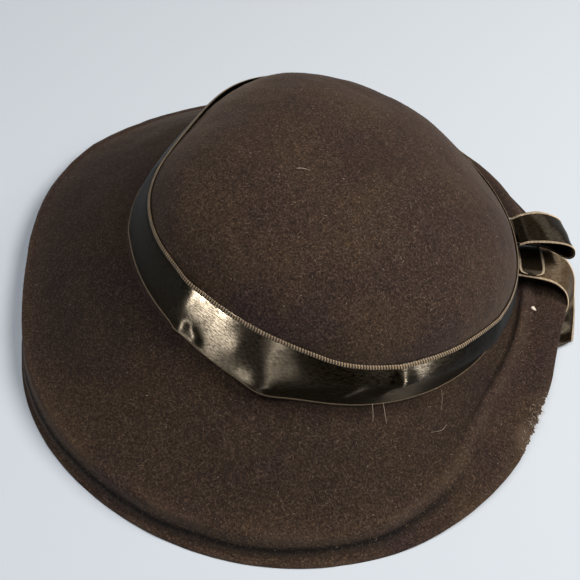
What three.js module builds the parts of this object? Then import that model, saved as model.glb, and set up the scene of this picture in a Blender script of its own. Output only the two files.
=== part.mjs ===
// A felt cloche hat with a satin ribbon round its crown and a flat bow at the wearer's left.
//
// Sizes are in millimetres, +Z is up, -Y is the front of the hat and +X is the wearer's left.
// Angles go round the crown in degrees, from the front (0) towards the wearer's left (90).
// The origin is on the floor, under the middle of the hat's box.
// Every piece is a sheet: a grid of points on its outer face, given a thickness.

import * as THREE from "three";

// The felt, and the crown's outline at its foot
const FELT = 2; // thickness
const CROWN_LENGTH = 182.4; // front to back, outside
const CROWN_WIDTH = 181.8; // side to side, outside
const ROUNDNESS = 2.05; // exponent of the outline, where 2 is an ellipse
const FLAT_AT = 296; // angle of the flat where the crown's wall is pushed in
const FLAT_SPAN = 26; // angle from its middle to where it fades
const FLAT_DEPTH = 9.5;

// The crown above its foot, the line where crown and brim meet
const CROWN_RISE = 60.7; // from the middle height of the foot to the top
const CROWN_TAPER = 0.11; // share of its width that the wall loses on the way up
const CROWN_LEAN_LEFT = 13.2; // how far the top stands over towards the wearer's left
const CROWN_LEAN_BACK = 0.6;
const SIDE_FLATNESS = 3; // higher keeps the wall upright for longer
const TOP_FLATNESS = 2.2; // higher makes the top flatter
const FOOT_HEIGHT = 26.9; // middle height of the foot above the floor
const FOOT_TILT_FRONT = 12; // the foot stands this much higher at the front
const FOOT_TILT_LEFT = -7.3; // and this much lower at the wearer's left
const FOOT_SAG = -1.7; // the foot's low at front and back against its sides

// The brim: a slope down to a rolled crest, a groove below it, then a lip out to the edge
const BRIM_REACH = 57; // widest distance from the crown's foot to the crest
const CREST_HEIGHT = 12;
const GROOVE_HEIGHT = 6;
const GROOVE_OUT = 2.2; // how far the groove lies outside the crest
const GROOVE_SPREAD = 0.12; // the share of a lip's width that its groove takes as well
const LIP_WIDTH = 10; // outside the crest's drop, at its plain width
const LIP_FLAT = 3; // a lip narrower than this stands on its cut edge, a wider one lies flat
const PRESSED = 0.8; // how far the edge is pressed down where it rests
const FLARE_LIFT = 12; // how high the edge turns up beside the bow
const VALLEY_DEPTH = 4; // soft valley inside the crest beside the bow
const ROLL_INNER = 4; // width of the crest's rounded inner shoulder
const ROLL_INNER_SHARE = 0.22; // and at most this share of the crest's distance
const ROLL_SHOULDER = 0.1; // rise of that shoulder, a share of the crest's drop to the groove
const FOOT_FILLET = 2.5; // width of the rounding between crown and brim
const FOOT_FILLET_DROP = 3.5; // and its height

// The ribbon and its folds
const RIBBON_WIDTH = 28;
const RIBBON = 1; // thickness, with its folded edges
const RIBBON_FOOT = 1; // from the crown's foot up to the ribbon
const RIBBON_STAND = 6; // how far the ribbon's fold stands off the crown
const CLEAR = 0.35; // gap kept between neighbouring pieces

// The bow, made of narrower ribbon
const BOW_AT = 136; // angle of the bow's near side
const BOW_WIDTH = 18; // width of its ribbon
const LOOP_REACH = 27.5; // how far the loop stands out from the crown's ribbon
const LOOP_RISE = 27; // height of the loop's top above the crown's foot
const KNOT_LENGTH = 12.6; // width of the knot's fold, along the tail
const KNOT_RISE = 2; // height of its arch above the tail
const KNOT_START = 1.6; // from the crown's ribbon to the knot

// How finely the sheets are divided
const STATIONS = 60; // steps round the hat
const CROWN_STEPS = 13;
const BOW_STEPS = 22; // steps along a strip of the bow
const BOW_COLUMNS = 3; // steps across it

// Brim sections by angle. crest: distance of the crest from the crown, a share of BRIM_REACH.
// high and low: heights of crest and groove, shares of CREST_HEIGHT and GROOVE_HEIGHT.
// lip: a share of LIP_WIDTH. lift: height of the edge's underside, a share of FLARE_LIFT.
// valley: a share of VALLEY_DEPTH.
const BRIM_SECTIONS = [
  { at: 0, crest: 1.0, high: 1.0, low: 1.0, lip: 0.3, lift: 0, valley: 0 },
  { at: 30, crest: 0.96, high: 1.0, low: 1.0, lip: 0.45, lift: 0, valley: 0 },
  { at: 60, crest: 0.8, high: 1.0, low: 1.1, lip: 0.65, lift: 0, valley: 0.1 },
  { at: 75, crest: 0.6, high: 1.0, low: 1.4, lip: 1.25, lift: 0.25, valley: 0.5 },
  { at: 90, crest: 0.35, high: 1.0, low: 1.6, lip: 2.0, lift: 0.6, valley: 0.8 },
  { at: 105, crest: 0.24, high: 1.05, low: 1.8, lip: 1.75, lift: 0.85, valley: 0.8 },
  { at: 120, crest: 0.2, high: 1.05, low: 1.8, lip: 1.45, lift: 0.95, valley: 0.5 },
  { at: 135, crest: 0.22, high: 1.0, low: 1.7, lip: 1.65, lift: 0.9, valley: 0.2 },
  { at: 150, crest: 0.34, high: 1.0, low: 1.5, lip: 1.0, lift: 0.6, valley: 0 },
  { at: 165, crest: 0.43, high: 0.95, low: 1.2, lip: 0.5, lift: 0.2, valley: 0 },
  { at: 180, crest: 0.46, high: 0.9, low: 1.0, lip: 0.3, lift: 0, valley: 0 },
  { at: 210, crest: 0.4, high: 0.9, low: 1.0, lip: 0.3, lift: 0, valley: 0 },
  { at: 240, crest: 0.4, high: 0.9, low: 1.0, lip: 0.3, lift: 0, valley: 0 },
  { at: 270, crest: 0.58, high: 1.0, low: 1.0, lip: 0.05, lift: 0, valley: 0 },
  { at: 300, crest: 0.83, high: 1.0, low: 1.0, lip: 0.0, lift: 0, valley: 0 },
  { at: 330, crest: 0.85, high: 1.0, low: 1.0, lip: 0.0, lift: 0, valley: 0 },
];

// The brim's slope between foot and crest. out: share of the crest's distance. fall: share of
// the way down to the crest. valley: share of the section's valley.
const SLOPE_POINTS = [
  { out: 0.38, fall: 0.32, valley: 0.5 },
  { out: 0.68, fall: 0.7, valley: 1 },
];

// The roll from crest to groove, and the lip from groove to edge, each as shares of its way
// outwards and of its fall.
const ROLL_POINTS = [
  { out: 0, fall: 0.13 },
  { out: 0.5, fall: 0.57 },
  { out: 1, fall: 1 },
];
const LIP_POINTS = [
  { out: 0.45, fall: 0.8 },
  { out: 1, fall: 1 },
];

// Subdivisions of each stretch of a brim section, from the crown's foot out to the edge
const SECTION_STEPS = [1, 3, 3, 3, 2, 1, 2, 2, 2];

// Dents in the crown: angle, height as a share of the rise, spans, and depth as a share of FELT.
const CROWN_DENTS = [
  { at: 163, height: 0.72, wide: 24, tall: 0.22, depth: 2.0 },
  { at: 136, height: 0.78, wide: 12, tall: 0.2, depth: -0.6 },
  { at: 222, height: 0.84, wide: 26, tall: 0.08, depth: 0.8 },
  { at: 250, height: 0.6, wide: 22, tall: 0.25, depth: -0.9 },
];

// The ribbon by angle. slip: how far its upper edge has slipped down, and crest: height of its
// lengthwise fold, shares of RIBBON_WIDTH. top, belly, low: how far its upper edge, its fold and
// its lower edge stand off the crown, shares of RIBBON_STAND.
const RIBBON_FOLDS = [
  { at: 0, slip: 0.05, crest: 0.15, top: 0, belly: 0.1, low: 0 },
  { at: 15, slip: 0, crest: 0.12, top: 0, belly: 0.15, low: 0.05 },
  { at: 30, slip: -0.02, crest: 0.12, top: 0, belly: 0.35, low: 0.2 },
  { at: 40, slip: 0, crest: 0.38, top: 0, belly: 0.5, low: 0.1 },
  { at: 50, slip: 0.06, crest: 0.62, top: 0, belly: 0.55, low: 0 },
  { at: 65, slip: 0.07, crest: 0.68, top: 0, belly: 0.6, low: 0 },
  { at: 80, slip: 0.04, crest: 0.66, top: 0, belly: 0.6, low: 0 },
  { at: 95, slip: 0.05, crest: 0.62, top: 0, belly: 0.5, low: 0 },
  { at: 110, slip: 0.08, crest: 0.6, top: 0, belly: 0.3, low: 0 },
  { at: 125, slip: 0.08, crest: 0.55, top: 0, belly: 0.1, low: 0 },
  { at: 150, slip: 0, crest: 0.45, top: 0, belly: 0, low: 0 },
  { at: 195, slip: 0, crest: 0.4, top: 0, belly: 0, low: 0 },
  { at: 220, slip: 0.06, crest: 0.4, top: 0.05, belly: 0, low: 0 },
  { at: 240, slip: 0.1, crest: 0.4, top: 0.22, belly: 0.03, low: 0 },
  { at: 265, slip: 0.05, crest: 0.4, top: 0.28, belly: 0.03, low: 0 },
  { at: 290, slip: 0, crest: 0.4, top: 0.2, belly: 0, low: 0 },
  { at: 310, slip: 0, crest: 0.35, top: 0.03, belly: 0, low: 0.05 },
  { at: 328, slip: 0.14, crest: 0.3, top: 0, belly: 0, low: 0.05 },
  { at: 342, slip: 0.14, crest: 0.2, top: 0, belly: 0.05, low: 0 },
];

// Rows of points across the ribbon. above: share of the way from the fold up to the upper edge.
// below: share of the way from the lower edge up to the fold, where stand is what is left there
// of how far the fold stands off.
const ROWS_ABOVE = [1, 0.66, 0.33, 0];
const ROWS_BELOW = [
  { below: 0.82, stand: 0.45 },
  { below: 0.5, stand: 0.12 },
  { below: 0, stand: 0 },
];

// Strips of the bow, row by row from the crown outwards, with the near and the far edge.
// side: distance round the crown from BOW_AT, a share of BOW_WIDTH.
// The loop's out is a share of LOOP_REACH and its up a share of LOOP_RISE above the foot.
const LOOP_ROWS = [
  { near: { out: 0.015, side: 0.28, up: 0.9 }, far: { out: 0.015, side: 1.28, up: 0.9 } },
  { near: { out: 0.2, side: 0.28, up: 1.01 }, far: { out: 0.2, side: 1.29, up: 1.01 } },
  { near: { out: 0.5, side: 0.28, up: 1.06 }, far: { out: 0.5, side: 1.3, up: 1.04 } },
  { near: { out: 0.8, side: 0.28, up: 1.05 }, far: { out: 0.79, side: 1.28, up: 0.92 } },
  { near: { out: 0.96, side: 0.28, up: 0.95 }, far: { out: 0.94, side: 1.26, up: 0.76 } },
  { near: { out: 1.0, side: 0.3, up: 0.68 }, far: { out: 0.97, side: 1.28, up: 0.6 } },
  { near: { out: 0.93, side: 0.42, up: 0.44 }, far: { out: 0.89, side: 1.38, up: 0.48 } },
  { near: { out: 0.62, side: 0.68, up: 0.44 }, far: { out: 0.6, side: 1.56, up: 0.47 } },
  { near: { out: 0.2, side: 0.74, up: 0.48 }, far: { out: 0.2, side: 1.64, up: 0.5 } },
  { near: { out: 0.03, side: 0.74, up: 0.5 }, far: { out: 0.03, side: 1.64, up: 0.52 } },
];

// The tail's out is a share of the brim's width beside the bow, and its up a share of the
// height of the crown's foot there, down to the floor.
const TAIL_ROWS = [
  { near: { out: 0.0, side: -0.12, up: 1.58 }, far: { out: 0.0, side: 0.76, up: 1.58 } },
  { near: { out: 0.4, side: -0.14, up: 1.62 }, far: { out: 0.4, side: 0.76, up: 1.62 } },
  { near: { out: 0.66, side: -0.2, up: 1.56 }, far: { out: 0.72, side: 0.72, up: 1.58 } },
  { near: { out: 0.86, side: -0.32, up: 1.28 }, far: { out: 0.94, side: 0.56, up: 1.38 } },
  { near: { out: 0.97, side: -0.5, up: 0.86 }, far: { out: 1.08, side: 0.34, up: 0.98 } },
  { near: { out: 0.88, side: -0.8, up: 0.48 }, far: { out: 1.12, side: 0.02, up: 0.54 } },
  { near: { out: 0.78, side: -1.16, up: 0.32 }, far: { out: 1.12, side: -0.42, up: 0.36 } },
  { near: { out: 0.7, side: -1.56, up: 0.26 }, far: { out: 1.12, side: -1.0, up: 0.28 } },
];

// The knot's out is a share of KNOT_LENGTH from KNOT_START, and its up a share of KNOT_RISE.
const KNOT_ROWS = [
  { near: { out: 0.05, side: 0.88, up: -0.7 }, far: { out: 0.95, side: 0.88, up: -0.7 } },
  { near: { out: 0.0, side: 0.8, up: 0.3 }, far: { out: 1.0, side: 0.8, up: 0.3 } },
  { near: { out: 0.0, side: 0.6, up: 0.9 }, far: { out: 1.0, side: 0.6, up: 0.9 } },
  { near: { out: 0.0, side: 0.3, up: 0.9 }, far: { out: 1.0, side: 0.3, up: 0.9 } },
  { near: { out: 0.0, side: 0.06, up: 0.5 }, far: { out: 1.0, side: 0.06, up: 0.5 } },
  { near: { out: 0.06, side: -0.05, up: 0.2 }, far: { out: 0.92, side: -0.05, up: 0.2 } },
  { near: { out: 0.24, side: -0.1, up: 0.1 }, far: { out: 0.74, side: -0.1, up: 0.1 } },
];

const smoothstep = (value) => THREE.MathUtils.smoothstep(value, 0, 1);

// A closed smooth curve through a table's rows, read at an angle.
function around(rows, key, angle) {
  const count = rows.length;
  const turned = THREE.MathUtils.euclideanModulo(angle, 360);
  let i = rows.findLastIndex((row) => row.at <= turned);
  if (i < 0) i = count - 1;
  const row = (step) => rows[(i + step + count) % count];
  const span = (from, to) => THREE.MathUtils.euclideanModulo(to.at - from.at, 360);
  const gap = span(row(0), row(1));
  const t = span(row(0), { at: turned }) / gap;
  const slopeIn = (row(1)[key] - row(-1)[key]) / (gap + span(row(-1), row(0)));
  const slopeOut = (row(2)[key] - row(0)[key]) / (gap + span(row(1), row(2)));
  return hermite(row(0)[key], row(1)[key], slopeIn * gap, slopeOut * gap, t);
}

function hermite(start, end, startSlope, endSlope, t) {
  const t2 = t * t;
  const t3 = t2 * t;
  return (
    (2 * t3 - 3 * t2 + 1) * start +
    (t3 - 2 * t2 + t) * startSlope +
    (3 * t2 - 2 * t3) * end +
    (t3 - t2) * endSlope
  );
}

// A smooth curve through points, divided steps[i] times between points i and i + 1.
function through(points, steps) {
  const far = (i, j) => points[i].distanceTo(points[j]);
  const last = points.length - 1;
  const slope = (i) => {
    const before = Math.max(i - 1, 0);
    const after = Math.min(i + 1, last);
    const run = (before < i ? far(before, i) : 0) + (after > i ? far(i, after) : 0);
    return points[after].clone().sub(points[before]).divideScalar(run);
  };
  const curve = [points[0].clone()];
  for (let i = 0; i < last; i++) {
    const length = far(i, i + 1);
    const from = slope(i).multiplyScalar(length);
    const to = slope(i + 1).multiplyScalar(length);
    for (let step = 1; step <= steps[i]; step++) {
      const t = step / steps[i];
      const point = points[i].clone();
      for (const axis of ["x", "y", "z"]) {
        if (!(axis in point)) continue;
        point[axis] = hermite(points[i][axis], points[i + 1][axis], from[axis], to[axis], t);
      }
      curve.push(point);
    }
  }
  return curve;
}

// The point at a distance from the crown's axis, at an angle and a height.
function polar(radius, angle, height) {
  const turn = THREE.MathUtils.degToRad(angle);
  return new THREE.Vector3(radius * Math.sin(turn), -radius * Math.cos(turn), height);
}

// The angle from a centre, between -180 and 180.
function turnFrom(centre, angle) {
  return THREE.MathUtils.euclideanModulo(angle - centre + 180, 360) - 180;
}

// How far the crown's wall is pushed in.
function pushedIn(angle) {
  return FLAT_DEPTH * Math.exp(-((turnFrom(FLAT_AT, angle) / FLAT_SPAN) ** 2));
}

// Radius of the crown's outline at its foot, without and with its flat.
function ovalRadius(angle) {
  const turn = THREE.MathUtils.degToRad(angle);
  const across = Math.abs((2 * Math.sin(turn)) / CROWN_WIDTH) ** ROUNDNESS;
  const along = Math.abs((2 * Math.cos(turn)) / CROWN_LENGTH) ** ROUNDNESS;
  return (across + along) ** (-1 / ROUNDNESS);
}

function footRadius(angle) {
  return ovalRadius(angle) - pushedIn(angle);
}

function footHeight(angle) {
  const turn = THREE.MathUtils.degToRad(angle);
  const tilt = FOOT_TILT_FRONT * Math.cos(turn) + FOOT_TILT_LEFT * Math.sin(turn);
  return FOOT_HEIGHT + tilt + FOOT_SAG * Math.cos(2 * turn);
}

// Share of the foot's radius that the crown has at a share of its rise.
function crownShare(rise) {
  const rounding = Math.max(1 - Math.max(rise, 0) ** SIDE_FLATNESS, 0) ** (1 / TOP_FLATNESS);
  return (1 - CROWN_TAPER * rise) * rounding;
}

// A point on the crown without its dents.
function smoothCrown(rise, angle) {
  const share = crownShare(rise);
  const height = FOOT_HEIGHT + (footHeight(angle) - FOOT_HEIGHT) * share + CROWN_RISE * rise;
  const point = polar(share * footRadius(angle), angle, height);
  point.x += CROWN_LEAN_LEFT * rise;
  point.y += CROWN_LEAN_BACK * rise;
  return point;
}

// A point that stands off the smooth crown, square to its wall.
function offCrown(rise, angle, stand) {
  const step = 0.02;
  const wall = smoothCrown(rise + step, angle).sub(smoothCrown(rise - step, angle));
  const outward = polar(1, angle + 90, 0).cross(wall).normalize();
  return smoothCrown(rise, angle).addScaledVector(outward, stand);
}

function crownPoint(rise, angle) {
  const point = smoothCrown(rise, angle);
  const inward = new THREE.Vector3(0, 0, FOOT_HEIGHT).sub(point).normalize();
  for (const dent of CROWN_DENTS) {
    const sideways = turnFrom(dent.at, angle) / dent.wide;
    const nearness = sideways ** 2 + ((rise - dent.height) / dent.tall) ** 2;
    point.addScaledVector(inward, dent.depth * FELT * crownShare(rise) * Math.exp(-nearness));
  }
  return point;
}

// A brim section at an angle, as points of distance from the crown's foot and height.
function brimSection(angle) {
  const share = (key) => around(BRIM_SECTIONS, key, angle);
  const foot = footHeight(angle);
  const start = foot - FOOT_FILLET_DROP;
  const crestOut = BRIM_REACH * share("crest") + pushedIn(angle);
  const crest = CREST_HEIGHT * share("high");
  const groove = GROOVE_HEIGHT * share("low");
  const lip = LIP_WIDTH * Math.max(share("lip"), 0);
  const lying = smoothstep(lip / LIP_FLAT);
  const edge = lying * FELT - PRESSED + FLARE_LIFT * Math.max(share("lift"), 0);
  const edgeOut = crestOut + GROOVE_OUT * lying + lip;
  const grooveOut = edgeOut - (1 - GROOVE_SPREAD) * lip;
  const shoulder = Math.min(ROLL_INNER, ROLL_INNER_SHARE * crestOut);
  const valleyDepth = VALLEY_DEPTH * share("valley");
  const between = ([fromOut, fromHeight], [toOut, toHeight], { out, fall }) =>
    new THREE.Vector2(
      THREE.MathUtils.lerp(fromOut, toOut, out),
      THREE.MathUtils.lerp(fromHeight, toHeight, fall),
    );
  const slope = SLOPE_POINTS.map((row) => {
    const point = between([0, start], [crestOut, crest], row);
    point.y -= row.valley * valleyDepth;
    return point;
  });
  return [
    new THREE.Vector2(0, foot),
    new THREE.Vector2(FOOT_FILLET, start),
    ...slope,
    new THREE.Vector2(crestOut - shoulder, crest + ROLL_SHOULDER * (crest - groove)),
    ...ROLL_POINTS.map((row) => between([crestOut, crest], [grooveOut, groove], row)),
    ...LIP_POINTS.map((row) => between([grooveOut, groove], [edgeOut, edge], row)),
  ];
}

// A closed mesh from a grid of points on a sheet's outer face, with its thickness behind it.
// looped joins the last row to the first, and pole says that every row starts at one point.
// Nothing of it reaches below the floor: what would is pressed flat there.
function sheet(grid, thickness, { looped = false, pole = false } = {}) {
  const rows = grid.length;
  const columns = grid[0].length;
  const rowAt = (i) => (looped ? (i + rows) % rows : THREE.MathUtils.clamp(i, 0, rows - 1));
  const columnAt = (j) => THREE.MathUtils.clamp(j, 0, columns - 1);
  const point = (i, j) => grid[rowAt(i)][columnAt(j)];
  const behind = (i, j) => {
    const across = point(i, j + 1).clone().sub(point(i, j - 1));
    const along = point(i + 1, j).clone().sub(point(i - 1, j));
    const normal = pole && j === 0 ? new THREE.Vector3(0, 0, 1) : across.cross(along).normalize();
    return point(i, j).clone().addScaledVector(normal, -thickness);
  };
  const vertices = [];
  const numbers = [];
  for (const face of [point, behind]) {
    const table = [];
    for (let i = 0; i < rows; i++) {
      table.push([]);
      for (let j = 0; j < columns; j++) {
        if (pole && j === 0 && i > 0) {
          table[i].push(table[0][0]);
          continue;
        }
        const vertex = face(i, j);
        table[i].push(vertices.length / 3);
        vertices.push(vertex.x, vertex.y, Math.max(vertex.z, 0));
      }
    }
    numbers.push(table);
  }
  const [front, back] = numbers;
  const triangles = [];
  const quad = (a, b, c, d) => {
    for (const corners of [[a, b, c], [a, c, d]]) {
      if (new Set(corners).size === 3) triangles.push(...corners);
    }
  };
  const lastRow = looped ? rows : rows - 1;
  for (let i = 0; i < lastRow; i++) {
    const next = rowAt(i + 1);
    for (let j = 0; j < columns - 1; j++) {
      quad(front[i][j], front[i][j + 1], front[next][j + 1], front[next][j]);
      quad(back[i][j], back[next][j], back[next][j + 1], back[i][j + 1]);
    }
    const end = columns - 1;
    quad(front[i][end], back[i][end], back[next][end], front[next][end]);
    if (!pole) quad(front[i][0], front[next][0], back[next][0], back[i][0]);
  }
  if (!looped) {
    for (let j = 0; j < columns - 1; j++) {
      const end = rows - 1;
      quad(front[0][j], back[0][j], back[0][j + 1], front[0][j + 1]);
      quad(front[end][j], front[end][j + 1], back[end][j + 1], back[end][j]);
    }
  }
  const geometry = new THREE.BufferGeometry();
  geometry.setAttribute("position", new THREE.Float32BufferAttribute(vertices, 3));
  geometry.setIndex(triangles);
  geometry.computeVertexNormals();
  return geometry;
}

const angles = Array.from({ length: STATIONS }, (_, i) => (360 * i) / STATIONS);

function feltBody() {
  const grid = angles.map((angle) => {
    const row = [];
    for (let step = 0; step < CROWN_STEPS; step++) {
      const rise = 1 - (step / CROWN_STEPS) ** 2;
      row.push(crownPoint(rise, angle));
    }
    for (const spot of through(brimSection(angle), SECTION_STEPS)) {
      row.push(polar(footRadius(angle) + spot.x, angle, spot.y));
    }
    return row;
  });
  return sheet(grid, FELT, { looped: true, pole: true });
}

// The ribbon's outer face at an angle, from its upper edge down.
function ribbonRow(angle) {
  const fold = (key) => around(RIBBON_FOLDS, key, angle);
  const wall = Math.hypot(CROWN_RISE, 0.5 * CROWN_TAPER * CROWN_WIDTH);
  const point = (height, stand) => {
    const rise = (RIBBON_FOOT + height * RIBBON_WIDTH) / wall;
    return offCrown(rise, angle, CLEAR + RIBBON + RIBBON_STAND * Math.max(stand, 0));
  };
  const above = ROWS_ABOVE.map((share) => {
    const height = THREE.MathUtils.lerp(fold("crest"), 1 - fold("slip"), share);
    return point(height, THREE.MathUtils.lerp(fold("belly"), fold("top"), smoothstep(share)));
  });
  const below = ROWS_BELOW.map((row) => {
    const stand = THREE.MathUtils.lerp(fold("low"), fold("belly"), row.stand);
    return point(row.below * fold("crest"), stand);
  });
  return [...above, ...below];
}

function ribbonBand() {
  return sheet(angles.map(ribbonRow), RIBBON, { looped: true });
}

// A point of the bow's upper face, at a distance out from the crown's ribbon, round it and
// above the floor.
function bowPoint(out, side, height) {
  const angle = BOW_AT + THREE.MathUtils.radToDeg(side / footRadius(BOW_AT));
  const above = THREE.MathUtils.clamp(height - footHeight(angle), RIBBON_FOOT, RIBBON_WIDTH);
  const point = offCrown(above / CROWN_RISE, angle, 2 * CLEAR + 2 * RIBBON);
  point.addScaledVector(polar(1, angle, 0), out);
  point.z = height;
  return point;
}

// A strip of ribbon between two edges, each a smooth curve through a table's rows. The rows
// give its upper face.
function strip(rows, place) {
  const steps = rows.slice(1).map((_, i) => (i < BOW_STEPS % (rows.length - 1) ? 1 : 0));
  const each = Math.floor(BOW_STEPS / (rows.length - 1));
  const counts = steps.map((extra) => each + extra);
  const near = through(rows.map((row) => place(row.near)), counts);
  const far = through(rows.map((row) => place(row.far)), counts);
  const grid = near.map((start, i) => {
    const row = [];
    for (let j = 0; j <= BOW_COLUMNS; j++) {
      row.push(far[i].clone().lerp(start, j / BOW_COLUMNS));
    }
    return row;
  });
  return sheet(grid, RIBBON);
}

function bowLoop() {
  const foot = footHeight(BOW_AT);
  return strip(LOOP_ROWS, ({ out, side, up }) =>
    bowPoint(out * LOOP_REACH, side * BOW_WIDTH, foot + up * LOOP_RISE),
  );
}

function bowTail() {
  const foot = footHeight(BOW_AT);
  const brim = brimSection(BOW_AT).at(-1).x;
  return strip(TAIL_ROWS, ({ out, side, up }) =>
    bowPoint(out * brim, side * BOW_WIDTH, up * foot),
  );
}

// The knot's fold lies on the tail, a gap above it.
function bowKnot() {
  const face = TAIL_ROWS[1].near.up * footHeight(BOW_AT) + RIBBON + CLEAR;
  return strip(KNOT_ROWS, ({ out, side, up }) =>
    bowPoint(KNOT_START + out * KNOT_LENGTH, side * BOW_WIDTH, face + up * KNOT_RISE),
  );
}

const FELT_FINISH = { color: 0x2a2320, roughness: 0.95, metalness: 0 };
const SATIN_FINISH = { color: 0x2b2620, roughness: 0.35, metalness: 0 };

function piece(name, geometry, finish) {
  const mesh = new THREE.Mesh(geometry, new THREE.MeshStandardMaterial(finish));
  mesh.name = name;
  return mesh;
}

const hat = new THREE.Group();
hat.add(
  piece("felt_body", feltBody(), FELT_FINISH),
  piece("ribbon_band", ribbonBand(), SATIN_FINISH),
  piece("bow_loop", bowLoop(), SATIN_FINISH),
  piece("bow_knot", bowKnot(), SATIN_FINISH),
  piece("bow_tail", bowTail(), SATIN_FINISH),
);

// The crown's axis is off the middle of the box, because the brim is widest at the front.
const middle = new THREE.Box3().setFromObject(hat).getCenter(new THREE.Vector3());
hat.children.forEach((mesh) => mesh.position.set(-middle.x, -middle.y, 0));

export default hat;
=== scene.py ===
"""Looks of a felt cloche hat with a satin ribbon and a flat side bow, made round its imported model.

Shapes are worked out in millimetres about the crown's axis, with +Z up, -Y the front of the hat
and +X the wearer's left. Angles go round the crown in degrees, from the front towards the wearer's
left. make_piece() moves each mesh to the part's own frame, in metres.
"""

import math

import bmesh
import bpy
import numpy as np
from mathutils import Matrix, Vector


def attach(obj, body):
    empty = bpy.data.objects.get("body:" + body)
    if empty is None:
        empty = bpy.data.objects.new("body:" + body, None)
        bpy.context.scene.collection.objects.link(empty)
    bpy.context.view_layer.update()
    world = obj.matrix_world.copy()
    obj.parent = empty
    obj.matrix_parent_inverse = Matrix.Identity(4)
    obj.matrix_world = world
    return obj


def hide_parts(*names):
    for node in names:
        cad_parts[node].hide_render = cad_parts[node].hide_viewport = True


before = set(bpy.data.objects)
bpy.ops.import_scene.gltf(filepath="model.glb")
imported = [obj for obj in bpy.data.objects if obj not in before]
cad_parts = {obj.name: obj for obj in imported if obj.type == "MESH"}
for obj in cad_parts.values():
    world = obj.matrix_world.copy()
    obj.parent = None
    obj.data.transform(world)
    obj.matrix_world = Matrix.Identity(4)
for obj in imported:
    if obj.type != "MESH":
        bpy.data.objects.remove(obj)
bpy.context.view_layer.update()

MM = 0.001
CROWN_AXIS = (-4.12, 15.39)  # the crown's axis in the part's own frame
RNG = np.random.default_rng(7)

# The felt and the crown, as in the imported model
FELT = 2.0
CROWN_LENGTH = 182.4
CROWN_WIDTH = 181.8
ROUNDNESS = 2.05
FLAT_AT = 296.0
FLAT_SPAN = 26.0
FLAT_DEPTH = 9.5
CROWN_RISE = 60.7
CROWN_TAPER = 0.11
CROWN_LEAN_LEFT = 13.2
CROWN_LEAN_BACK = 0.6
SIDE_FLATNESS = 3.0
TOP_FLATNESS = 2.2
FOOT_HEIGHT = 26.9
FOOT_TILT_FRONT = 12.0
FOOT_TILT_LEFT = -7.3
FOOT_SAG = -1.7

# The brim
BRIM_REACH = 57.0
CREST_HEIGHT = 12.0
GROOVE_HEIGHT = 6.0
GROOVE_OUT = 2.2
GROOVE_SPREAD = 0.12
LIP_WIDTH = 10.0
LIP_FLAT = 3.0
PRESSED = 0.8
FLARE_LIFT = 12.0
VALLEY_DEPTH = 4.0
ROLL_INNER = 4.0
ROLL_INNER_SHARE = 0.22
ROLL_SHOULDER = 0.1
FOOT_FILLET = 2.5
FOOT_FILLET_DROP = 3.5

# The ribbon and the bow
RIBBON_WIDTH = 28.0
RIBBON_CAD = 1.0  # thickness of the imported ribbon, whose outer face this one shares
RIBBON = 0.5  # thickness of the cloth with its nap
RIBBON_FOOT = 1.0
RIBBON_STAND = 6.0
CLEAR = 0.35
BOW_AT = 136.0
BOW_WIDTH = 18.0
LOOP_REACH = 27.5
LOOP_RISE = 27.0
KNOT_LENGTH = 12.6
KNOT_RISE = 2.0
KNOT_START = 1.6

# Brim sections by angle. crest: distance of the crest from the crown, a share of BRIM_REACH.
# high and low: heights of crest and groove, shares of CREST_HEIGHT and GROOVE_HEIGHT.
# lip: a share of LIP_WIDTH. lift: height of the edge's underside, a share of FLARE_LIFT.
# valley: a share of VALLEY_DEPTH.
def brim_row(at, crest, lip, high=1.0, low=1.0, lift=0.0, valley=0.0):
    return dict(at=at, crest=crest, high=high, low=low, lip=lip, lift=lift, valley=valley)


BRIM_SECTIONS = [
    brim_row(0, crest=1.0, lip=0.3),
    brim_row(30, crest=0.96, lip=0.45),
    brim_row(60, crest=0.8, low=1.1, lip=0.65, valley=0.1),
    brim_row(75, crest=0.6, low=1.4, lip=1.25, lift=0.25, valley=0.5),
    brim_row(90, crest=0.35, low=1.6, lip=2.0, lift=0.6, valley=0.8),
    brim_row(105, crest=0.24, high=1.05, low=1.8, lip=1.75, lift=0.85, valley=0.8),
    brim_row(120, crest=0.2, high=1.05, low=1.8, lip=1.45, lift=0.95, valley=0.5),
    brim_row(135, crest=0.22, low=1.7, lip=1.65, lift=0.9, valley=0.2),
    brim_row(150, crest=0.34, low=1.5, lip=1.0, lift=0.6),
    brim_row(165, crest=0.43, high=0.95, low=1.2, lip=0.5, lift=0.2),
    brim_row(180, crest=0.46, high=0.9, lip=0.3),
    brim_row(210, crest=0.4, high=0.9, lip=0.3),
    brim_row(240, crest=0.4, high=0.9, lip=0.3),
    brim_row(270, crest=0.58, lip=0.05),
    brim_row(300, crest=0.83, lip=0.0),
    brim_row(330, crest=0.85, lip=0.0),
]

# The brim's slope from foot to crest, its roll from crest to groove and its lip out to the edge,
# as shares of each stretch's way outwards and down, and of the valley.
SLOPE_POINTS = [dict(out=0.38, fall=0.32, valley=0.5), dict(out=0.68, fall=0.7, valley=1)]
ROLL_POINTS = [dict(out=0, fall=0.13), dict(out=0.5, fall=0.57), dict(out=1, fall=1)]
LIP_POINTS = [dict(out=0.45, fall=0.8), dict(out=1, fall=1)]
SECTION_STEPS = [3, 9, 10, 10, 9, 5, 8, 8, 8]  # subdivisions of a section's stretches

# Dents in the crown: angle, height as a share of the rise, spans, and depth in millimetres.
CROWN_DENTS = [
    dict(at=163, height=0.72, wide=24, tall=0.22, depth=4.0),
    dict(at=136, height=0.78, wide=12, tall=0.2, depth=-1.2),
    dict(at=222, height=0.84, wide=26, tall=0.08, depth=1.6),
    dict(at=250, height=0.6, wide=22, tall=0.25, depth=-1.8),
]

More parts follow.
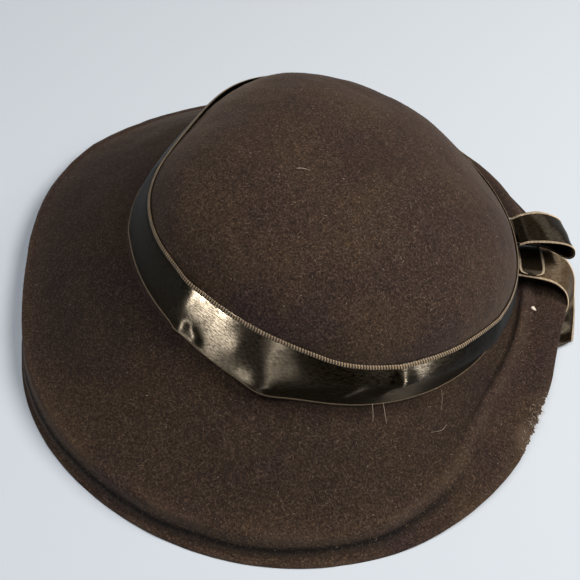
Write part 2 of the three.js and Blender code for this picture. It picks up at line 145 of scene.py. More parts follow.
# The ribbon by angle. slip: how far its upper edge has slipped down, and crest: height of its
# lengthwise fold, shares of RIBBON_WIDTH. top, belly, low: how far its upper edge, its fold and
# its lower edge stand off the crown, shares of RIBBON_STAND.
def fold_row(at, slip, crest, top=0.0, belly=0.0, low=0.0):
    return dict(at=at, slip=slip, crest=crest, top=top, belly=belly, low=low)


RIBBON_FOLDS = [
    fold_row(0, slip=0.05, crest=0.15, belly=0.1),
    fold_row(15, slip=0, crest=0.12, belly=0.15, low=0.05),
    fold_row(30, slip=-0.02, crest=0.12, belly=0.35, low=0.2),
    fold_row(40, slip=0, crest=0.38, belly=0.5, low=0.1),
    fold_row(50, slip=0.06, crest=0.62, belly=0.55),
    fold_row(65, slip=0.07, crest=0.68, belly=0.6),
    fold_row(80, slip=0.04, crest=0.66, belly=0.6),
    fold_row(95, slip=0.05, crest=0.62, belly=0.5),
    fold_row(110, slip=0.13, crest=0.6, belly=0.3),
    fold_row(125, slip=0.15, crest=0.55, belly=0.1),
    fold_row(150, slip=0.1, crest=0.45),
    fold_row(195, slip=0.05, crest=0.4),
    fold_row(220, slip=0.06, crest=0.4, top=0.05),
    fold_row(240, slip=0.1, crest=0.4, top=0.22, belly=0.03),
    fold_row(265, slip=0.05, crest=0.4, top=0.28, belly=0.03),
    fold_row(290, slip=0, crest=0.4, top=0.2),
    fold_row(310, slip=0, crest=0.35, top=0.03, low=0.05),
    fold_row(328, slip=0.14, crest=0.3, low=0.05),
    fold_row(342, slip=0.14, crest=0.2, belly=0.05),
]

# Creases in the ribbon's face. Each runs from a start to an end, given as an angle and a height
# as a share of the ribbon's width. wide and rise are millimetres, and a rise below zero is a pit.
CREASES = [
    dict(start=(1, 1.1), end=(4, 0.75), wide=7.5, rise=1.4),
    dict(start=(34, -0.05), end=(33, 0.15), wide=9.0, rise=2.4),
    dict(start=(10, 0.28), end=(12, 0.2), wide=3.0, rise=-1.2),
    dict(start=(6, 0.0), end=(7, 0.1), wide=3.0, rise=0.7),
    dict(start=(24, 0.6), end=(30, 0.6), wide=6.0, rise=0.5),
    dict(start=(52, 0.35), end=(54, 0.55), wide=3.5, rise=1.2),
    dict(start=(63, 0.45), end=(66, 0.75), wide=4.0, rise=1.2),
    dict(start=(66, 0.75), end=(86, 0.85), wide=3.0, rise=0.5),
    dict(start=(96, 0.5), end=(104, 0.8), wide=3.5, rise=0.4),
    dict(start=(168, 0.1), end=(178, 0.9), wide=3.5, rise=0.5),
    dict(start=(205, 0.8), end=(222, 0.2), wide=4.0, rise=0.5),
    dict(start=(262, 0.2), end=(270, 0.7), wide=4.0, rise=0.4),
    dict(start=(318, 0.7), end=(332, 0.15), wide=4.5, rise=0.6),
]


def edges(near, far):
    """A row of a strip of the bow: out, side and up of its near and its far edge."""
    near, far = (dict(zip(("out", "side", "up"), edge)) for edge in (near, far))
    return dict(near=near, far=far)


# The bow's strips, row by row. side is a share of BOW_WIDTH, round the crown from BOW_AT. out and
# up are shares of LOOP_REACH and LOOP_RISE, of the brim's reach and the foot's height for the
# tail, and of KNOT_LENGTH and KNOT_RISE.
LOOP_ROWS = [
    edges((0.015, 0.28, 0.9), (0.015, 1.28, 0.9)),
    edges((0.2, 0.28, 1.01), (0.2, 1.29, 1.01)),
    edges((0.5, 0.28, 1.06), (0.5, 1.3, 1.04)),
    edges((0.8, 0.28, 1.05), (0.79, 1.28, 0.92)),
    edges((0.96, 0.28, 0.95), (0.94, 1.26, 0.76)),
    edges((1.0, 0.3, 0.68), (0.97, 1.28, 0.6)),
    edges((0.93, 0.42, 0.44), (0.89, 1.38, 0.48)),
    edges((0.62, 0.68, 0.44), (0.6, 1.56, 0.47)),
    edges((0.2, 0.74, 0.48), (0.2, 1.64, 0.5)),
    edges((0.03, 0.74, 0.5), (0.03, 1.64, 0.52)),
]
TAIL_ROWS = [
    edges((0.0, -0.12, 1.58), (0.0, 0.76, 1.58)),
    edges((0.4, -0.14, 1.62), (0.4, 0.76, 1.62)),
    edges((0.66, -0.2, 1.56), (0.72, 0.72, 1.58)),
    edges((0.85, -0.32, 1.28), (0.94, 0.56, 1.38)),
    edges((0.92, -0.5, 0.88), (1.08, 0.34, 0.98)),
    edges((0.83, -0.8, 0.5), (1.12, 0.02, 0.54)),
    edges((0.78, -1.16, 0.32), (1.12, -0.42, 0.36)),
    edges((0.7, -1.56, 0.26), (1.12, -1.0, 0.28)),
]
KNOT_ROWS = [
    edges((0.05, 0.88, -0.7), (0.95, 0.88, -0.7)),
    edges((0.0, 0.8, 0.3), (1.0, 0.8, 0.3)),
    edges((0.0, 0.6, 0.9), (1.0, 0.6, 0.9)),
    edges((0.0, 0.3, 0.9), (1.0, 0.3, 0.9)),
    edges((0.0, 0.06, 0.5), (1.0, 0.06, 0.5)),
    edges((0.06, -0.05, 0.2), (0.92, -0.05, 0.2)),
    edges((0.24, -0.1, 0.1), (0.74, -0.1, 0.1)),
]


# Curves and shapes

def smoothstep(value):
    value = np.clip(value, 0, 1)
    return value * value * (3 - 2 * value)


def hermite(start, end, start_slope, end_slope, t):
    t2, t3 = t * t, t * t * t
    return (
        (2 * t3 - 3 * t2 + 1) * start
        + (t3 - 2 * t2 + t) * start_slope
        + (3 * t2 - 2 * t3) * end
        + (t3 - t2) * end_slope
    )


def around(rows, key, angle):
    """A closed smooth curve through a table's rows, read at angles."""
    at = np.array([row["at"] for row in rows], float)
    value = np.array([row[key] for row in rows], float)
    turned = np.mod(angle, 360)
    i = np.searchsorted(at, turned, side="right") - 1
    before, here, after, beyond = [(i + step) % len(rows) for step in (-1, 0, 1, 2)]
    gap = np.mod(at[after] - at[here], 360)
    slope_in = (value[after] - value[before]) / (gap + np.mod(at[here] - at[before], 360))
    slope_out = (value[beyond] - value[here]) / (gap + np.mod(at[beyond] - at[after], 360))
    t = np.mod(turned - at[here], 360) / gap
    return hermite(value[here], value[after], slope_in * gap, slope_out * gap, t)


def length(vectors):
    return np.linalg.norm(vectors, axis=-1, keepdims=True)


def through(points, steps):
    """Smooth curves through points along their first axis. Stretch i is divided steps[i] times."""
    last = len(points) - 1

    def slope(i):
        before, after = max(i - 1, 0), min(i + 1, last)
        run = sum(length(points[k + 1] - points[k]) for k in range(before, after))
        return (points[after] - points[before]) / run

    curve = [points[0]]
    for i in range(last):
        span = length(points[i + 1] - points[i])
        for step in range(1, steps[i] + 1):
            t = step / steps[i]
            curve.append(
                hermite(points[i], points[i + 1], slope(i) * span, slope(i + 1) * span, t)
            )
    return np.array(curve)


def reaches(line):
    """How far along a line of points each of them is."""
    return np.concatenate([[0], np.cumsum(length(np.diff(line, axis=0))[:, 0])])


def polar(radius, angle, height):
    turn = np.radians(angle)
    x, y, z = np.broadcast_arrays(radius * np.sin(turn), -radius * np.cos(turn), height)
    return np.stack([x, y, z], -1)


def turned_from(angle, centre):
    return np.mod(angle - centre + 180, 360) - 180


def pushed_in(angle):
    return FLAT_DEPTH * np.exp(-((turned_from(angle, FLAT_AT) / FLAT_SPAN) ** 2))


def foot_radius(angle):
    turn = np.radians(angle)
    across = np.abs(2 * np.sin(turn) / CROWN_WIDTH) ** ROUNDNESS
    along = np.abs(2 * np.cos(turn) / CROWN_LENGTH) ** ROUNDNESS
    return (across + along) ** (-1 / ROUNDNESS) - pushed_in(angle)


def foot_height(angle):
    turn = np.radians(angle)
    tilt = FOOT_TILT_FRONT * np.cos(turn) + FOOT_TILT_LEFT * np.sin(turn)
    return FOOT_HEIGHT + tilt + FOOT_SAG * np.cos(2 * turn)


def crown_share(rise):
    rounding = np.maximum(1 - np.maximum(rise, 0) ** SIDE_FLATNESS, 0) ** (1 / TOP_FLATNESS)
    return (1 - CROWN_TAPER * rise) * rounding


def smooth_crown(rise, angle):
    rise, angle = np.broadcast_arrays(np.asarray(rise, float), np.asarray(angle, float))
    share = crown_share(rise)
    height = FOOT_HEIGHT + (foot_height(angle) - FOOT_HEIGHT) * share + CROWN_RISE * rise
    point = polar(share * foot_radius(angle), angle, height)
    point[..., 0] += CROWN_LEAN_LEFT * rise
    point[..., 1] += CROWN_LEAN_BACK * rise
    return point


def unit(vectors):
    return vectors / np.maximum(length(vectors), 1e-9)


def off_crown(rise, angle, stand):
    """A point that stands off the smooth crown, square to its wall."""
    step = 0.02
    wall = smooth_crown(rise + step, angle) - smooth_crown(rise - step, angle)
    outward = unit(np.cross(polar(1.0, angle + 90, 0.0), wall))
    return smooth_crown(rise, angle) + outward * np.asarray(stand)[..., None]


def crown_point(rise, angle):
    point = smooth_crown(rise, angle)
    inward = unit(np.array([0, 0, FOOT_HEIGHT]) - point)
    for dent in CROWN_DENTS:
        nearness = (turned_from(angle, dent["at"]) / dent["wide"]) ** 2
        nearness = nearness + ((rise - dent["height"]) / dent["tall"]) ** 2
        depth = dent["depth"] * crown_share(rise) * np.exp(-nearness)
        point = point + inward * depth[..., None]
    return point


def brim_section(angle):
    """Distances from the crown's foot and heights of a brim section's points, at each angle."""
    share = {key: around(BRIM_SECTIONS, key, angle) for key in BRIM_SECTIONS[0]}
    foot = foot_height(angle)
    start = foot - FOOT_FILLET_DROP
    crest_out = BRIM_REACH * share["crest"] + pushed_in(angle)
    crest = CREST_HEIGHT * share["high"]
    groove = GROOVE_HEIGHT * share["low"]
    lip = LIP_WIDTH * np.maximum(share["lip"], 0)
    lying = smoothstep(lip / LIP_FLAT)
    edge = lying * FELT - PRESSED + FLARE_LIFT * np.maximum(share["lift"], 0)
    edge_out = crest_out + GROOVE_OUT * lying + lip
    groove_out = edge_out - (1 - GROOVE_SPREAD) * lip
    shoulder = np.minimum(ROLL_INNER, ROLL_INNER_SHARE * crest_out)
    valley = VALLEY_DEPTH * share["valley"]

    def point(out, height):
        return np.stack(np.broadcast_arrays(out + 0 * angle, height), -1)

    def between(from_out, from_height, to_out, to_height, row):
        out = from_out + (to_out - from_out) * row["out"]
        return point(out, from_height + (to_height - from_height) * row["fall"])

    points = [point(0.0, foot), point(FOOT_FILLET, start)]
    for row in SLOPE_POINTS:
        spot = between(0.0, start, crest_out, crest, row)
        spot[..., 1] -= row["valley"] * valley
        points.append(spot)
    points.append(point(crest_out - shoulder, crest + ROLL_SHOULDER * (crest - groove)))
    points += [between(crest_out, crest, groove_out, groove, row) for row in ROLL_POINTS]
    points += [between(groove_out, groove, edge_out, edge, row) for row in LIP_POINTS]
    return np.array(points)


def ripples(points, size, seed, waves=7):
    """A smooth uneven field of about -1 to 1 over points, whose bumps are about size across."""
    rng = np.random.default_rng(seed)
    total = np.zeros(points.shape[:-1])
    for _ in range(waves):
        way = rng.normal(size=3)
        way *= math.tau * rng.uniform(0.6, 1.4) / (size * np.linalg.norm(way))
        total += np.sin(points @ way + rng.uniform(0, math.tau))
    return total / math.sqrt(waves)


# Building meshes

def grid_normals(grid, looped_rows=False):
    """Normals of a grid of points. They point out where columns run down and rows to the left."""
    along = np.gradient(grid, axis=0)
    if looped_rows:
        along = np.roll(grid, -1, 0) - np.roll(grid, 1, 0)
    return unit(np.cross(np.gradient(grid, axis=1), along))


def half_round(start, side, outward, radius, steps):
    """Points on the way round a rounded edge, from one face to the other."""
    turns = np.pi * np.arange(1, steps + 1) / (steps + 1)
    middle = start - side * radius
    return [middle + (side * math.cos(t) + outward * math.sin(t)) * radius for t in turns]


def wrapped(grid, normals, thickness, rounding=3, both_edges=True):
    """Each row as a path over the face, round its last edge, back behind it and round its first.

    Returns the points and, for each column of the path, the column of the grid it belongs to.
    """
    last = grid.shape[1] - 1
    behind = grid - normals * thickness
    outward = unit(grid[:, -1] - grid[:, -2])
    rim = half_round(grid[:, -1], normals[:, -1], outward, thickness / 2, rounding)
    path = [grid, np.stack(rim, 1), behind[:, ::-1]]
    sources = [*range(last + 1), *[last] * rounding, *range(last, -1, -1)]
    if both_edges:
        outward = unit(grid[:, 0] - grid[:, 1])
        rim = half_round(behind[:, 0], -normals[:, 0], outward, thickness / 2, rounding)
        path.append(np.stack(rim, 1))
        sources += [0] * rounding
    return np.concatenate(path, 1), np.array(sources)


def skin_faces(numbers, looped_rows, looped_columns):
    """Quads over a grid of vertex numbers, with triangles where a quad's corners coincide."""
    rows, columns = numbers.shape
    faces = []
    for i in range(rows if looped_rows else rows - 1):
        upper, lower = numbers[i], numbers[(i + 1) % rows]
        for j in range(columns if looped_columns else columns - 1):
            k = (j + 1) % columns
            corners = list(dict.fromkeys(map(int, (upper[j], upper[k], lower[k], lower[j]))))
            if len(corners) > 2:
                faces.append(corners)
    return faces


def grid_numbers(rows, columns):
    return np.arange(rows * columns).reshape(rows, columns)


def tube_faces(rings, closed=False):
    """Faces round rings of points. The tube is joined end to end, or its two ends are capped."""
    numbers = grid_numbers(*rings.shape[:2])
    faces = skin_faces(numbers, looped_rows=closed, looped_columns=True)
    return faces if closed else faces + [numbers[0][::-1].tolist(), numbers[-1].tolist()]


def add_object(name, data):
    added = bpy.data.objects.new(name, data)
    bpy.context.scene.collection.objects.link(added)
    return added


def make_piece(name, points, faces, material, replaces=(), attributes=None, along=None):
    """A mesh piece from points in millimetres about the crown's axis, resting on the floor.

    along holds each point's place along and across its ribbon, which the satin's threads follow.
    """
    points = np.array(points, float).reshape(-1, 3)
    points[:, 2] = np.maximum(points[:, 2], 0)
    points[:, 0] += CROWN_AXIS[0]
    points[:, 1] += CROWN_AXIS[1]
    mesh = bpy.data.meshes.new(name)
    mesh.from_pydata(points * MM, [], faces)
    mesh.shade_smooth()
    for key, values in (attributes or {}).items():
        layer = mesh.attributes.new(key, "FLOAT", "POINT")
        layer.data.foreach_set("value", np.asarray(values, np.float32).ravel())
    if along is not None:
        add_threads(mesh, np.asarray(along, float).reshape(-1, 2))
    mesh.materials.append(material)
    piece = add_object(name, mesh)
    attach(piece, "root")
    if replaces:
        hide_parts(*replaces)
    return piece


def add_threads(mesh, along):
    """A UV map in metres along and across the ribbon. A face that closes a loop runs on past it."""
    corners = np.empty(len(mesh.loops), int)
    mesh.loops.foreach_get("vertex_index", corners)
    sizes = np.empty(len(mesh.polygons), int)
    mesh.polygons.foreach_get("loop_total", sizes)
    starts = np.concatenate([[0], np.cumsum(sizes)[:-1]])
    values = along[corners] * MM
    whole = np.ptp(along[:, 0]) * MM
    highest = np.repeat(np.maximum.reduceat(values[:, 0], starts), sizes)
    values[:, 0] += np.where(highest - values[:, 0] > whole / 2, whole, 0)
    layer = mesh.uv_layers.new(name="threads")
    layer.data.foreach_set("uv", values.astype(np.float32).ravel())


# Materials. Scales of textures are per metre, and distances of bumps are in metres.

FELT_DARK = (0.012, 0.0075, 0.0062)
FELT_MIDDLE = (0.039, 0.0255, 0.0185)
FELT_LIGHT = (0.115, 0.08, 0.056)
# worn felt, and the painted highlight on the crest
FELT_WORN_AND_LIT = (0.09, 0.062, 0.044)
# painted shade, for the groove and the crown's shadow on the brim's middle
FELT_PAINTED_SHADE = (0.004, 0.0028, 0.0024)
FELT_SHEEN = (0.62, 0.5, 0.42)
FLOOR_COLOUR = (0.585, 0.66, 0.755)
SPECKLE_SCALE, CLUMP_SCALE, BLOTCH_SCALE = 1150, 330, 26
FINE_THREADS, BROAD_THREADS = (480, 1900, 1), (45, 900, 1)  # scales along and across the ribbon
HIGHLIGHT_FADE = 0.014  # length over which the tail's painted highlight fades to dark, in metres


class Shading:
    """A new material, and short ways to add nodes to it. An input is a value or a socket."""

    def __init__(self, name):
        self.material = bpy.data.materials.new(name)
        self.material.use_nodes = True
        self.tree = self.material.node_tree
        self.shader = self.tree.nodes["Principled BSDF"]

    def put(self, socket, value):
        if isinstance(value, bpy.types.NodeSocket):
            self.tree.links.new(value, socket)
        else:
            socket.default_value = value

    def put_all(self, node, inputs):
        for key, value in inputs.items():
            self.put(node.inputs[key.replace("_", " ")], value)

    def finish(self, **inputs):
        self.put_all(self.shader, inputs)
        return self.material

    def add(self, kind, **inputs):
        node = self.tree.nodes.new("ShaderNode" + kind)
        self.put_all(node, inputs)
        return node

    def attribute(self, name):
        node = self.add("Attribute")
        node.attribute_name = name
        return node.outputs["Fac"]

    def noise(self, source, scale, detail=2.0, stretch=None):
        """A noise texture over object or UV coordinates in metres. stretch scales each axis."""
        if stretch:
            source = self.add("Mapping", Vector=source, Scale=stretch).outputs["Vector"]
        texture = self.add("TexNoise", Vector=source, Scale=scale, Detail=detail, Roughness=0.6)
        return texture.outputs["Fac"]

    def ramp(self, source, *stops):
        """A colour ramp. Each stop is a place and a colour or a grey."""
        node = self.add("ValToRGB", Fac=source)
        elements = node.color_ramp.elements
        while len(elements) < len(stops):
            elements.new(0.5)
        for element, (place, colour) in zip(elements, stops):
            element.position = place
            element.color = (*(colour if isinstance(colour, tuple) else (colour,) * 3), 1)
        return node.outputs["Color"]

    def mix(self, blend, factor, first, second):
        node = self.add("Mix")
        node.data_type = "RGBA"
        node.blend_type = blend
        for key, value in (("Factor", factor), ("A", first), ("B", second)):
            socket = next(s for s in node.inputs if s.name == key and s.enabled)
            self.put(socket, (*value, 1) if isinstance(value, tuple) else value)
        return next(s for s in node.outputs if s.enabled)

    def bump(self, height, distance, strength=1.0, **after):
        node = self.add("Bump", Height=height, Distance=distance, Strength=strength, **after)
        return node.outputs["Normal"]


def felt_material():
    made = Shading("felt")
    place = made.add("TexCoord").outputs["Object"]
    speckle = made.noise(place, SPECKLE_SCALE, 3.0)
    clumps = made.noise(place, CLUMP_SCALE, 3.0)
    blotches = made.noise(place, BLOTCH_SCALE)
    colour = made.ramp(speckle, (0.32, FELT_DARK), (0.56, FELT_MIDDLE), (0.76, FELT_LIGHT))
    colour = made.mix("MULTIPLY", 1.0, colour, made.ramp(clumps, (0.3, 0.8), (0.7, 1.16)))
    warmth = made.ramp(blotches, (0.38, (0.86, 0.77, 0.92)), (0.64, (1.22, 1.14, 0.96)))
    colour = made.mix("MULTIPLY", 1.0, colour, warmth)
    # Lightened by real wear on the edge and in the nick, and by a painted highlight on the crest.
    colour = made.mix("MIX", made.attribute("wear_and_highlight"), colour, FELT_WORN_AND_LIT)
    # The groove attribute is painted shade: it darkens the colour and takes away sheen in the groove
    # and on the brim's middle.
    groove = made.attribute("groove")
    return made.finish(
        Base_Color=made.mix("MIX", groove, colour, FELT_PAINTED_SHADE),
        Normal=made.bump(clumps, 0.0003, 0.7, Normal=made.bump(speckle, 0.00022)),
        Roughness=0.92,
        Specular_IOR_Level=0.2,
        Sheen_Weight=made.ramp(groove, (0.3, 0.22), (0.9, 0.0)),
        Sheen_Roughness=0.45,
        Sheen_Tint=(*FELT_SHEEN, 1),
    )


def fibre_material(name, dark, light):
    """Loose fibres, each of one shade between dark and light."""
    made = Shading(name)
    colour = made.ramp(made.attribute("shade"), (0.0, dark), (1.0, light))
    return made.finish(Base_Color=colour, Roughness=0.7, Specular_IOR_Level=0.3)


def satin_material(name, dark, light, roughness, gloss, streaks, highlight_fades_from=None):
    """Satin whose threads run along the UV map, with gloss spread across them.

    Its last argument is how far along the ribbon, in metres, the colour starts to darken, ending a
    painted highlight.
    """
    made = Shading(name)
    place = made.add("UVMap")
    tangent = made.add("Tangent")
    tangent.direction_type = "UV_MAP"
    place.uv_map = tangent.uv_map = "threads"
    along = place.outputs["UV"]
    fine = made.noise(along, 1.0, stretch=FINE_THREADS)
    broad = made.noise(along, 1.0, stretch=BROAD_THREADS)
    colour = made.ramp(fine, (0.3, dark), (0.72, light))
    # Darkening along the ribbon ends the painted highlight of a lighter copy of the satin.
    if highlight_fades_from:
        reach = made.add("SeparateXYZ", Vector=along).outputs["X"]
        fade = made.ramp(reach, (highlight_fades_from, 1.0), (highlight_fades_from + HIGHLIGHT_FADE, 0.1))
        colour = made.mix("MULTIPLY", 1.0, colour, fade)
    return made.finish(
        Base_Color=colour,
        Specular_Tint=made.ramp(fine, (0.36, (0.24, 0.2, 0.15)), (0.6, (1.0, 0.87, 0.68))),
        Normal=made.bump(broad, 0.00012, 0.6, Normal=made.bump(fine, 0.00004, streaks)),
        Tangent=tangent.outputs["Tangent"],
        Roughness=roughness,
        Specular_IOR_Level=gloss,
        Anisotropic=1.0,
        Anisotropic_Rotation=0.25,
    )


def selvedge_material(name, dark, pale):
    """The ribbon's woven edge, pale on its raised weft and dark in the gaps."""
    made = Shading(name)
    place = made.add("TexCoord").outputs["Object"]
    colour = made.ramp(made.attribute("rung"), (0.25, dark), (0.8, pale))
    uneven = made.ramp(made.noise(place, 420), (0.3, 0.72), (0.7, 1.15))
    return made.finish(
        Base_Color=made.mix("MULTIPLY", 1.0, colour, uneven),
        Normal=made.bump(made.noise(place, 4000, 1.0), 0.00008),
        Roughness=0.5,
    )


felt = felt_material()
satin = satin_material(
    "satin", dark=(0.0, 0.0, 0.0), light=(0.0008, 0.0006, 0.0003),
    roughness=0.32, gloss=0.15, streaks=0.9,
)
bow_satin = satin_material(
    "bow_satin", dark=(0.003, 0.0022, 0.0014), light=(0.02, 0.015, 0.009),
    roughness=0.4, gloss=0.3, streaks=0.7,
)
# The tail's light golden colours are a painted highlight on the black satin, fading to dark further
# along.
tail_satin_painted_highlight = satin_material(
    "tail_satin_painted_highlight", dark=(0.022, 0.014, 0.0075), light=(0.12, 0.08, 0.042),
    roughness=0.36, gloss=0.5, streaks=0.7, highlight_fades_from=0.037,
)
band_edge = selvedge_material("band_edge", (0.006, 0.004, 0.003), (0.33, 0.24, 0.145))
# The bow's selvedges are painted paler than the band's: their own pale edge colour plus a painted
# highlight along the bow's edges.
bow_edge_painted_highlight = selvedge_material("bow_edge_painted_highlight", (0.05, 0.038, 0.026), (0.8, 0.64, 0.45))
nap_fibres = fibre_material("nap_fibres", (0.05, 0.034, 0.026), (0.34, 0.25, 0.18))
pale_fibres = fibre_material("pale_fibres", (0.3, 0.24, 0.18), (0.75, 0.68, 0.58))


# The felt. Its columns run from the top of the crown to the brim's edge.

EVEN_ANGLES = np.arange(0, 360, 1.5)
CLOSE_ANGLES = np.arange(90, 108, 0.3)  # extra rows where the edge is worn
FELT_ANGLES = np.unique(np.concatenate([EVEN_ANGLES, CLOSE_ANGLES]).round(2))
CROWN_STEPS = 44
NAP_FROM = 3  # first column with nap, where the rows are no longer packed together
BARE_FROM = 29  # column where the ribbon starts to cover the crown
BRIM_FROM = CROWN_STEPS + 4
BRIM_MIDDLE = CROWN_STEPS + 17
CREST_COLUMN = CROWN_STEPS + sum(SECTION_STEPS[:5])
GROOVE_COLUMN = CROWN_STEPS + sum(SECTION_STEPS[:7])
LAST_COLUMN = CROWN_STEPS + sum(SECTION_STEPS)
VALLEY_STEP = 4  # steps of the section between which the brim's valley is softened
SHOULDER_STEP = sum(SECTION_STEPS[:4])
VALLEY_SOFTENING = 24  # how many times
UNEVENNESS = ((34, 0.24), (13, 0.1), (5, 0.04))  # size and height of the felt's soft unevenness

# The worn nick in the turned up edge, and the strength of wear in it and on the plain edges and of a
# painted highlight on the crest
WORN_AT, WORN_SPAN, WORN_DEPTH = 99.0, 6.5, 1.6
NICK_COLUMNS = 9
CREST_PAINTED_HIGHLIGHT, EDGE_WEAR, TORN_WEAR, MOST_WEAR = 0.24, 0.3, 1.4, 0.8

# Painted shade: how dark the groove is painted where it is deep enough, and the crown's painted
# shadow on the brim's middle, darkest at the angle set last
GROOVE_PAINTED_SHADE, GROOVE_FROM, GROOVE_SPAN = 0.94, 1.5, 3.0
BRIM_PAINTED_SHADE, BRIM_PAINTED_SHADE_EXTRA, BRIM_PAINTED_SHADE_AT = 0.34, 0.16, 290.0


def worn(angle):
    return np.exp(-(((angle - WORN_AT) / WORN_SPAN) ** 4))


def near_column(columns, centre, wide, power=2):
    """1 at a column of the felt, falling to 0 over a width in columns."""
    return np.exp(-(((columns - centre) / wide) ** power))


def soften_valley(section):
    for _ in range(VALLEY_SOFTENING):
        before, here, after = (
            section[VALLEY_STEP + step:SHOULDER_STEP + step] for step in (-1, 0, 1)
        )
        section[VALLEY_STEP:SHOULDER_STEP] = here + (before - 2 * here + after) / 4


def felt_grid():
    """The felt's outer face: a row at each angle, from the top of the crown to the brim's edge."""
    angle = FELT_ANGLES
    columns = []
    for step in range(CROWN_STEPS):
        columns.append(crown_point(np.full_like(angle, 1 - (step / CROWN_STEPS) ** 2), angle))
    section = through(brim_section(angle), SECTION_STEPS)
    soften_valley(section)
    ragged = 0.55 + 0.3 * np.sin(angle * 9.1) + 0.25 * np.sin(angle * 23.7 + 1)
    nick = WORN_DEPTH * ragged * worn(angle)
    for step, spot in enumerate(section):
        near_edge = smoothstep(1 - (len(section) - 1 - step) / NICK_COLUMNS)
        out = foot_radius(angle) + spot[..., 0] - nick * near_edge
        columns.append(polar(out, angle, spot[..., 1]))
    grid = np.stack(columns, 1)
    normals = felt_normals(grid)
    for seed, (size, height) in enumerate(UNEVENNESS):
        grid = grid + normals * height * ripples(grid, size, seed)[..., None]
    return grid


def felt_normals(grid):
    normals = grid_normals(grid, looped_rows=True)
    normals[:, 0] = (0, 0, 1)
    return normals


def felt_wear_and_highlight(path, sources):
    """How far the felt is lightened: a painted highlight on its crest, wear on its edge, in patches,
    and most wear in the nick.
    """
    crest = CREST_PAINTED_HIGHLIGHT * near_column(sources, CREST_COLUMN, 4.0)
    edge = EDGE_WEAR * near_column(sources, LAST_COLUMN, 2.5)
    torn = TORN_WEAR * worn(FELT_ANGLES)[:, None] * near_column(sources, LAST_COLUMN, 4.0)
    patchy = 0.5 + 0.5 * ripples(path, 16, 21)
    return np.clip((crest + edge + torn) * patchy, 0, MOST_WEAR)


def felt_painted_shade(grid, sources):
    """How far painted shade darkens the felt's outer face: in the groove and on the brim's middle.
    """
    drop = np.ptp(grid[:, CREST_COLUMN:GROOVE_COLUMN + 1, 2], axis=1)
    deep = smoothstep((drop - GROOVE_FROM) / GROOVE_SPAN)[:, None]
    deep = deep * near_column(sources, GROOVE_COLUMN, 5.0)
    # The crown's painted shadow on the brim's middle, darkest towards one angle.
    towards = np.maximum(np.cos(np.radians(FELT_ANGLES - BRIM_PAINTED_SHADE_AT)), 0)[:, None]
    brim_shade = BRIM_PAINTED_SHADE + BRIM_PAINTED_SHADE_EXTRA * towards
    brim_shaded = brim_shade * near_column(sources, BRIM_MIDDLE, 15.0, power=4)
    outer = np.arange(len(sources)) <= LAST_COLUMN
    return np.where(outer, np.maximum(GROOVE_PAINTED_SHADE * deep, brim_shaded), 0)


def make_felt(grid, normals):
    path, sources = wrapped(grid, normals, FELT, rounding=4, both_edges=False)
    rows, columns = path.shape[:2]
    numbers = grid_numbers(rows, columns)
    numbers[:, 0] = numbers[0, 0]
    numbers[:, -1] = numbers[0, -1]
    used, numbers = np.unique(numbers, return_inverse=True)
    numbers = numbers.reshape(rows, columns)
    faces = skin_faces(numbers, looped_rows=True, looped_columns=False)
    # The groove attribute holds the painted shade of the groove and the brim's middle.
    # The wear attribute holds real wear on the edge and nick and a painted highlight on the crest.
    values = {"wear_and_highlight": felt_wear_and_highlight(path, sources), "groove": felt_painted_shade(grid, sources)}
    return make_piece(
        "felt_hat", path.reshape(-1, 3)[used], faces, felt,
        replaces=["felt_body"],
        attributes={key: value.ravel()[used] for key, value in values.items()},
    )


# Loose fibres, joined in one mesh: flat curved slivers on a surface

FIBRE_STEPS = 3
FIBRE_CLEAR = 0.03  # how far a fibre's root stands off the felt
FIBRE_TAPER = 0.6  # share of its width that a fibre loses towards its tip
CROWN_NAP, BRIM_NAP, INNER_NAP, LINT = 15000, 17000, 6000, 260
PALE = dict(material=pale_fibres, size=0.55, brightness=2.0)


def fibre_mesh(name, starts, normals, ways, lengths, widths, lifts, curls, shades, material):
    """Slivers that start at points, run along ways, rise off the surface and curl sideways."""
    sideways = unit(np.cross(normals, ways))
    points = []
    for step in range(FIBRE_STEPS + 1):
        t = step / FIBRE_STEPS
        rise = FIBRE_CLEAR + lifts * lengths * math.sin(math.pi * 0.75 * t)
        spot = starts + ways * (lengths * t)[:, None]
        spot = spot + sideways * (curls * lengths * t * t)[:, None]
        spot = spot + normals * rise[:, None]
        half = (0.5 * widths * (1 - FIBRE_TAPER * t))[:, None]
        points += [spot - sideways * half, spot + sideways * half]
    grid = np.stack(points, 1)
    numbers = grid_numbers(*grid.shape[:2])
    faces = []
    for first in range(0, 2 * FIBRE_STEPS, 2):
        faces += numbers[:, (first, first + 1, first + 3, first + 2)].tolist()
    shades = np.repeat(shades, len(points))
    return make_piece(name, grid, faces, material, attributes={"shade": shades})


def scattered(grid, normals, first, last, count):
    """Random points on columns first to last of a looped grid, evenly over its area."""
    part, facing = grid[:, first:last + 1], normals[:, first:last + 1]
    following, facing_next = np.roll(part, -1, 0), np.roll(facing, -1, 0)
    side = following[:, :-1] - part[:, :-1]
    down = part[:, 1:] - part[:, :-1]
    area = length(np.cross(side, down))[..., 0]
    chosen = RNG.choice(area.size, count, p=(area / area.sum()).ravel())
    i, j = np.unravel_index(chosen, area.shape)
    u, v = RNG.uniform(size=(2, count, 1))
    spots = part[i, j] + side[i, j] * u + down[i, j] * v
    return spots, unit(facing[i, j] * (1 - u) + facing_next[i, j] * u)


